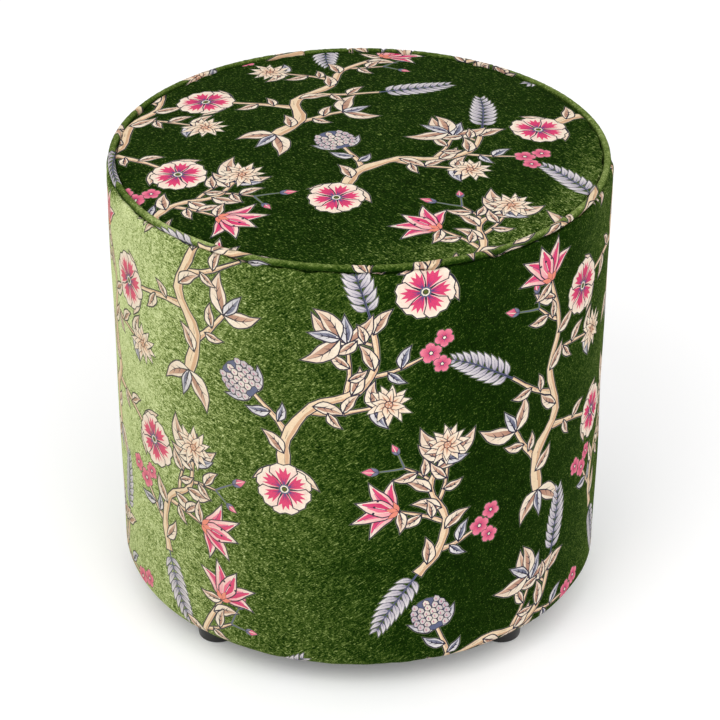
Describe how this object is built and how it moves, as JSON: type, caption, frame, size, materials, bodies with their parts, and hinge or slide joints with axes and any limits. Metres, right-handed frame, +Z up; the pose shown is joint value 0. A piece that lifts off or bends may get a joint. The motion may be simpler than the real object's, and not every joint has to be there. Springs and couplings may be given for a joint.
{
  "type": "tuffet",
  "caption": "Drum-shaped upholstered footstool with a crowned seat, a piped top edge, a turned-under hem and low plastic feet.",
  "frame": {"origin": "on the floor, under the middle of the drum", "axes": "+Z up along the drum's axis; -Y towards the front, as the picture sees it; +X to the right"},
  "size_m": [0.45, 0.45, 0.4397],
  "materials": {
    "velvet": "crushed velvet, dark green, printed with flowering branches",
    "piping_velvet": "the same velvet cut as a strip and folded round a cord",
    "cord": "soft cotton piping cord",
    "foam": "open-cell polyurethane foam",
    "wadding": "polyester wadding",
    "plywood": "sanded plywood, uncoated",
    "pine": "planed pine, uncoated",
    "hardboard": "smooth brown hardboard",
    "dust_cloth": "black non-woven cloth",
    "plastic": "moulded black plastic, satin",
    "zinc": "zinc-plated steel"
  },
  "bodies": {
    "root": {"seat_cover": "velvet", "side_band": "velvet", "piping_strip": "piping_velvet", "piping_cord": "cord", "seat_foam": "foam", "side_foam": "foam", "seat_wadding": "wadding", "side_wadding": "wadding", "base_board": "plywood", "top_board": "plywood", "wall_panel": "hardboard", "dust_cover": "dust_cloth", "post_1": "pine", "post_2": "pine", "post_3": "pine", "post_4": "pine", "post_5": "pine", "post_6": "pine", "foot_front_left": "plastic", "foot_front_right": "plastic", "foot_back_left": "plastic", "foot_back_right": "plastic", "foot_screw_front_left": "zinc", "foot_screw_front_right": "zinc", "foot_screw_back_left": "zinc", "foot_screw_back_right": "zinc", "base_post_screw_1": "zinc", "top_post_screw_1": "zinc", "base_post_screw_2": "zinc", "top_post_screw_2": "zinc", "base_post_screw_3": "zinc", "top_post_screw_3": "zinc", "base_post_screw_4": "zinc", "top_post_screw_4": "zinc", "base_post_screw_5": "zinc", "top_post_screw_5": "zinc", "base_post_screw_6": "zinc", "top_post_screw_6": "zinc"}
  },
  "joints": []
}
